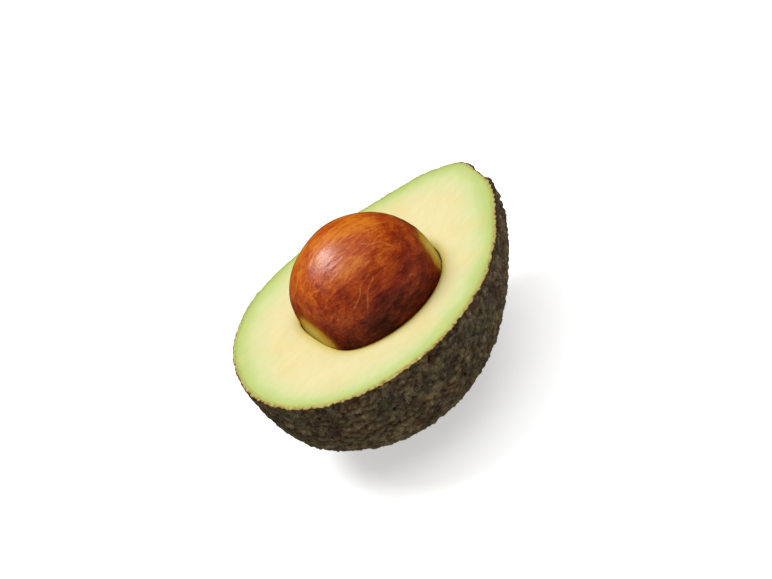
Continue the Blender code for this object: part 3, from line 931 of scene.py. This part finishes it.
def make_stone_material():
    """Seed coat: waxy gloss and thin, from orange to dark brown, with fibres, veins and specks.
    Its side toward the key light is painted lighter and its lower front darker, as painted
    light and shade.
    """
    material, tree, shader = new_material("avocado seed coat, waxy", IOR=1.5,
                                          Specular_IOR_Level=1.0)
    place = add_node(tree, "ShaderNodeTexCoord", output="Object")
    to_vein, past_film = (
        add_node(tree, "ShaderNodeAttribute", output="Fac", attribute_name=name)
        for name in ("to vein", "past film"))
    centre = (STONE_CENTRE + FRUIT_CENTRE).tolist()
    about = add_node(tree, "ShaderNodeVectorMath", {0: place, 1: centre}, operation="SUBTRACT")
    straight = add_node(tree, "ShaderNodeMapping",
                        {"Vector": about, "Rotation": (0.0, 0.0, -STONE_TURN)})
    along = add_node(tree, "ShaderNodeMapping",
                     {"Vector": straight, "Scale": (0.22, 1.0, 1.0)})
    zones = add_node(tree, "ShaderNodeTexNoise",
                     {"Vector": straight, "Scale": per(STONE_ZONE), "Detail": 3.0})
    mottle = add_node(tree, "ShaderNodeTexNoise",
                      {"Vector": along, "Scale": per(STONE_MOTTLE), "Detail": 6.0,
                       "Roughness": 0.7, "Distortion": 0.8})
    fibres = add_node(tree, "ShaderNodeTexNoise",
                      {"Vector": along, "Scale": per(FIBRE_WIDTH), "Detail": 4.0,
                       "Roughness": 0.65, "Distortion": 0.5})
    # Painted light and shade: lighter and more orange toward the key light, darker below and in
    # front
    side = add_node(tree, "ShaderNodeVectorMath", {0: about, 1: LIT_SIDE_WAY}, output="Value",
                    operation="DOT_PRODUCT")
    shade = add_node(tree, "ShaderNodeMapRange",
                     {"Value": side, 1: LIT_SIDE_FROM, 2: LIT_SIDE_TO, 3: 0.0, 4: 0.5})
    for noise, amount in ((zones, 0.7), (mottle, 1.0), (fibres, 0.7)):
        shade = add_node(tree, "ShaderNodeMath", {0: noise, 1: amount, 2: shade},
                         operation="MULTIPLY_ADD")
    shade = add_node(tree, "ShaderNodeMapRange", {"Value": shade, 1: 1.0, 2: 1.8})
    coat = add_node(tree, "ShaderNodeValToRGB", {"Fac": shade},
                    stops=((0.0, "#461008"), (0.22, "#681c06"), (0.45, "#922c04"),
                           (0.7, "#bc4c05"), (1.0, "#dc7c18")))
    vein = add_node(tree, "ShaderNodeMapRange", {"Value": to_vein, 1: 0.04, 2: 0.3, 3: 0.85,
                                                 4: 0.0})
    fading = add_node(tree, "ShaderNodeMapRange", {"Value": mottle, 1: 0.35, 2: 0.5, 3: 0.55})
    vein = add_node(tree, "ShaderNodeMath", {0: vein, 1: fading}, operation="MULTIPLY")
    coat = add_node(tree, "ShaderNodeMix", {0: vein, 6: coat, 7: "#d98436"}, data_type="RGBA")
    speck_noise = add_node(tree, "ShaderNodeTexNoise",
                           {"Vector": straight, "Scale": per(SPECK_SIZE), "Detail": 2.0})
    specks = add_node(tree, "ShaderNodeMapRange",
                      {"Value": speck_noise, 1: 0.58, 2: 0.7, 3: 1.0, 4: 0.7})
    ragged = add_node(tree, "ShaderNodeMath", {0: mottle, 1: 12.0, 2: past_film},
                      operation="MULTIPLY_ADD")
    filmy = add_node(tree, "ShaderNodeMapRange", {"Value": ragged, 1: 9.0, 2: 2.5})
    gold = add_node(tree, "ShaderNodeMapRange", {"Value": ragged, 1: 6.0, 2: -6.0})
    gold = add_node(tree, "ShaderNodeValToRGB", {"Fac": gold},
                    stops=((0.0, "#a65c06"), (0.4, "#dca422"), (1.0, "#f2d868")))
    coat = add_node(tree, "ShaderNodeMix", {0: filmy, 6: coat, 7: gold}, data_type="RGBA")
    colour = add_node(tree, "ShaderNodeMix", {0: 1.0, 6: coat, 7: specks}, data_type="RGBA",
                      blend_type="MULTIPLY")
    tree.links.new(colour, shader.inputs["Base Color"])
    roughness = add_node(tree, "ShaderNodeMapRange",
                         {"Value": speck_noise, 1: 0.3, 2: 0.7, 3: 0.26, 4: 0.42})
    tree.links.new(roughness, shader.inputs["Roughness"])
    fine = add_node(tree, "ShaderNodeMath", {0: speck_noise, 1: 0.6, 2: fibres},
                    operation="MULTIPLY_ADD")
    bump = add_node(tree, "ShaderNodeBump",
                    {"Strength": 0.7, "Distance": 0.08 * MM, "Height": fine})
    tree.links.new(bump, shader.inputs["Normal"])
    return material


stone.data.materials.append(make_stone_material())
print("stone finish:", stone.active_material.name)

# %% [markdown]
# The half lies on a plain white light table, so wide that its edge stays out of sight. The table
# glows a little, which keeps it white under the fruit and lightens the shadow. The key light
# hangs over the far side of the fruit and puts the broad highlight on the stone. A large soft
# light above fills the shade. A small one, low beyond the stem end, lights the skin alone and
# brings out its relief. The table, the top light and the pale surround aren't mirrored in the
# fruit, which would lay a grey haze over its deep colours.

# %% Floor and light
FLOOR_HALF = 4.0
TABLE_GLOW = 0.52
SURROUND = 0.15

# Each light's direction from the fruit, distance and size in metres, brightness of its face, and
# whether the fruit mirrors it
LIGHTS = {
    "key light": ((-0.17, 0.43, 0.89), 0.9, 0.42, 8.6, True),
    "top light": ((0.1, -0.1, 1.0), 1.5, 1.8, 1.75, False),
    "side light": ((0.95, -0.3, 0.09), 1.2, 0.16, 34.0, True),
}


def make_floor():
    """A level white sheet under the half."""
    mesh = bpy.data.meshes.new("floor")
    corners = [(x * FLOOR_HALF, y * FLOOR_HALF, 0) for x, y in ((-1, -1), (1, -1), (1, 1), (-1, 1))]
    mesh.from_pydata(corners, [], [(0, 1, 2, 3)])
    floor = bpy.data.objects.new("floor", mesh)
    bpy.context.scene.collection.objects.link(floor)
    material, _, shader = new_material("light table, white", Roughness=0.9)
    shader.inputs["Base Color"].default_value = linear("#f6f6f4")
    shader.inputs["Emission Color"].default_value = linear("#ffffff")
    shader.inputs["Emission Strength"].default_value = TABLE_GLOW
    mesh.materials.append(material)
    floor.visible_glossy = False


# %% Soft lights


def add_soft_light(name, direction, distance, size, brightness, mirrored):
    """A square area light that faces the middle of the cut face from a direction. Its power is
    pi times its brightness times its area."""
    data = bpy.data.lights.new(name, "AREA")
    data.size = size
    data.energy = math.pi * brightness * size ** 2
    light = bpy.data.objects.new(name, data)
    direction = Vector(direction).normalized()
    light.location = Vector(FRUIT_CENTRE.tolist()) + distance * direction
    light.rotation_euler = direction.to_track_quat("Z", "Y").to_euler()
    light.visible_glossy = mirrored
    bpy.context.scene.collection.objects.link(light)
    return light


def light_scene():
    """The surround and the lights, shown without a film curve, as on a product page."""
    world = bpy.data.worlds.new("studio")
    world.use_nodes = True
    background = world.node_tree.nodes["Background"]
    background.inputs["Color"].default_value = linear("#ffffff")
    background.inputs["Strength"].default_value = SURROUND
    world.cycles_visibility.glossy = False
    bpy.context.scene.world = world
    lights = {name: add_soft_light(name, *settings) for name, settings in LIGHTS.items()}
    only_skin = bpy.data.collections.new("lit by the side light")
    only_skin.objects.link(skin)
    lights["side light"].light_linking.receiver_collection = only_skin
    bpy.context.scene.view_settings.view_transform = "Standard"


make_floor()
light_scene()
print("lights", sorted(LIGHTS), "table glow", TABLE_GLOW)

# %% [markdown]
# At the end each new piece takes the place of the solid it stands for, whose import is hidden,
# and it is attached so that it moves with the one body.

# %% Join the frame
for piece, node in ((skin, "skin"), (flesh, "flesh"), (stone, "stone")):
    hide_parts(node)
    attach(piece, "root")

bpy.context.view_layer.update()
